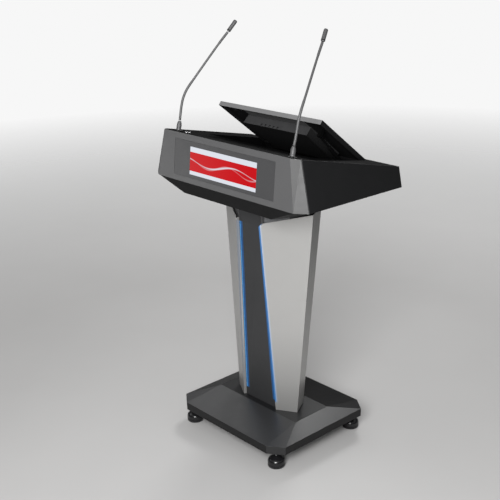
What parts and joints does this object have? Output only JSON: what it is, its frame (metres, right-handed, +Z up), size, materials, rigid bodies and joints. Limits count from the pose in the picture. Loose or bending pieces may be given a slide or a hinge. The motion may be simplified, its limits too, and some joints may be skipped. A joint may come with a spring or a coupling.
{
  "type": "digital lectern",
  "caption": "Free-standing lectern with a tapered column, a faceted base on screw feet, a front display, a tilting touch monitor and gooseneck microphones.",
  "frame": {"origin": "on the floor under the middle of the outline", "axes": "+Z up, -Y to the audience, +Y to the speaker, +X along the head to the audience's right"},
  "size_m": [0.8042, 0.5032, 1.5188],
  "materials": {
    "shell_steel": "satin dark grey powder coat",
    "fascia_steel": "satin mid grey powder coat",
    "wing_steel": "satin silver paint",
    "zinc_steel": "zinc plated",
    "bright_metal": "polished",
    "black_plastic": "fine matt",
    "foot_plastic": "gloss moulded pad on a steel stem",
    "mic_metal": "satin grey",
    "device_case": "matt",
    "neck_steel": "grey coated steel spiral",
    "monitor_case": "satin grey",
    "screen_glass": "polished black",
    "bezel_plastic": "satin dark grey",
    "lit_screen": "lit panel, red graphic",
    "light_strip": "lit blue diffuser"
  },
  "bodies": {
    "lectern": {"base_cover": "shell_steel", "base_plate": "shell_steel", "computer": "device_case", "display_bezel": "bezel_plastic", "door_hinge_lower": "shell_steel", "door_hinge_upper": "shell_steel", "foot_nut_back_left": "zinc_steel", "foot_nut_back_right": "zinc_steel", "foot_nut_front_left": "zinc_steel", "foot_nut_front_right": "zinc_steel", "front_display": "lit_screen", "front_fascia": "fascia_steel", "front_panel": "shell_steel", "head_shell": "shell_steel", "hinge_bracket_left": "zinc_steel", "hinge_bracket_right": "zinc_steel", "light_strip_left": "light_strip", "light_strip_right": "light_strip", "mast_base_flange": "zinc_steel", "mast_head_flange": "zinc_steel", "mast_upright_left": "zinc_steel", "mast_upright_right": "zinc_steel", "mic_socket_left": "black_plastic", "mic_socket_right": "black_plastic", "monitor_well": "shell_steel", "neck_shroud": "fascia_steel", "power_inlet": "black_plastic", "power_supply": "device_case", "rear_panel": "shell_steel", "stay_anchor": "shell_steel", "top_deck": "shell_steel", "wing_left": "wing_steel", "wing_right": "wing_steel"},
    "monitor": {"monitor_frame": "monitor_case", "monitor_back": "shell_steel", "display_panel": "black_plastic", "touch_glass": "screen_glass", "monitor_housing": "device_case", "stay_lug": "shell_steel"},
    "stay_tube": {"stay_tube": "black_plastic"},
    "stay_rod": {"stay_rod": "black_plastic"},
    "mic_sleeve_left": {"mic_sleeve_left": "neck_steel"},
    "mic_neck_left": {"mic_neck_left": "neck_steel"},
    "mic_capsule_left": {"mic_capsule_left": "mic_metal"},
    "mic_sleeve_right": {"mic_sleeve_right": "neck_steel"},
    "mic_neck_right": {"mic_neck_right": "neck_steel"},
    "mic_capsule_right": {"mic_capsule_right": "mic_metal"},
    "push_button_1": {"push_button_1": "bright_metal"},
    "push_button_2": {"push_button_2": "bright_metal"},
    "rear_door": {"rear_door": "shell_steel"},
    "door_lock": {"door_lock": "bright_metal"},
    "power_rocker": {"power_rocker": "black_plastic"},
    "foot_front_left": {"foot_front_left": "foot_plastic"},
    "foot_front_right": {"foot_front_right": "foot_plastic"},
    "foot_back_left": {"foot_back_left": "foot_plastic"},
    "foot_back_right": {"foot_back_right": "foot_plastic"}
  },
  "joints": [
    {"name": "monitor_tilt", "type": "hinge", "parent": "lectern", "child": "monitor", "pos_m": [0, 0.21378, 1.04723], "axis": [1, 0, 0], "range_deg": [0, 25.6]},
    {"name": "stay_swing", "type": "hinge", "parent": "lectern", "child": "stay_tube", "pos_m": [0.212, 0.16297, 1.03079], "axis": [1, 0, 0], "range_deg": [0, 31]},
    {"name": "stay_extend", "type": "slide", "parent": "stay_tube", "child": "stay_rod", "axis": [0, -0.7073, 0.707], "range_m": [-0.018, 0]},
    {"name": "mic_left_swivel", "type": "hinge", "parent": "lectern", "child": "mic_sleeve_left", "pos_m": [-0.2905, -0.17832, 1.14105], "axis": [0, 0.2186, 0.9758], "range_deg": [-90, 90]},
    {"name": "mic_left_bend", "type": "hinge", "parent": "mic_sleeve_left", "child": "mic_neck_left", "pos_m": [-0.2905, -0.16997, 1.17833], "axis": [-0.9596, 0.2815, 0], "range_deg": [-20, 20]},
    {"name": "mic_left_head_bend", "type": "hinge", "parent": "mic_neck_left", "child": "mic_capsule_left", "pos_m": [-0.2325, 0.0196, 1.4764], "axis": [-0.9596, 0.2815, 0], "range_deg": [-35, 35]},
    {"name": "mic_right_swivel", "type": "hinge", "parent": "lectern", "child": "mic_sleeve_right", "pos_m": [0.2905, -0.17832, 1.14105], "axis": [0, 0.2186, 0.9758], "range_deg": [-90, 90]},
    {"name": "mic_right_bend", "type": "hinge", "parent": "mic_sleeve_right", "child": "mic_neck_right", "pos_m": [0.2905, -0.16997, 1.17833], "axis": [-0.9596, -0.2815, 0], "range_deg": [-20, 20]},
    {"name": "mic_right_head_bend", "type": "hinge", "parent": "mic_neck_right", "child": "mic_capsule_right", "pos_m": [0.2325, 0.0196, 1.4764], "axis": [-0.9596, -0.2815, 0], "range_deg": [-35, 35]},
    {"name": "push_button_1_press", "type": "slide", "parent": "lectern", "child": "push_button_1", "axis": [0, -0.2186, -0.9758], "range_m": [0, 0.0012], "stiffness_N_per_m": 500, "springref_m": -0.0015},
    {"name": "push_button_2_press", "type": "slide", "parent": "lectern", "child": "push_button_2", "axis": [0, -0.2186, -0.9758], "range_m": [0, 0.0012], "stiffness_N_per_m": 500, "springref_m": -0.0015},
    {"name": "rear_door_swing", "type": "hinge", "parent": "lectern", "child": "rear_door", "pos_m": [-0.08725, 0.0621, 0.48975], "axis": [0, 0.0535, 0.9986], "range_deg": [0, 110]},
    {"name": "door_lock_turn", "type": "hinge", "parent": "rear_door", "child": "door_lock", "pos_m": [0.07, 0.0575, 0.49], "axis": [0, 0.9986, -0.0535], "range_deg": [0, 90]},
    {"name": "power_rocker_tip", "type": "hinge", "parent": "lectern", "child": "power_rocker", "pos_m": [0.015, 0.03782, 0.16011], "axis": [1, 0, 0], "range_deg": [0, 10]},
    {"name": "foot_front_left_screw", "type": "slide", "parent": "lectern", "child": "foot_front_left", "axis": [0, 0, -1], "range_m": [-0.01, 0.012]},
    {"name": "foot_front_right_screw", "type": "slide", "parent": "lectern", "child": "foot_front_right", "axis": [0, 0, -1], "range_m": [-0.01, 0.012]},
    {"name": "foot_back_left_screw", "type": "slide", "parent": "lectern", "child": "foot_back_left", "axis": [0, 0, -1], "range_m": [-0.01, 0.012]},
    {"name": "foot_back_right_screw", "type": "slide", "parent": "lectern", "child": "foot_back_right", "axis": [0, 0, -1], "range_m": [-0.01, 0.012]}
  ],
  "couplings": [
    {"joint": "stay_swing", "follows": "monitor_tilt", "ratio": 1.1953},
    {"joint": "stay_extend", "follows": "monitor_tilt", "m_per_rad": -0.039156}
  ]
}
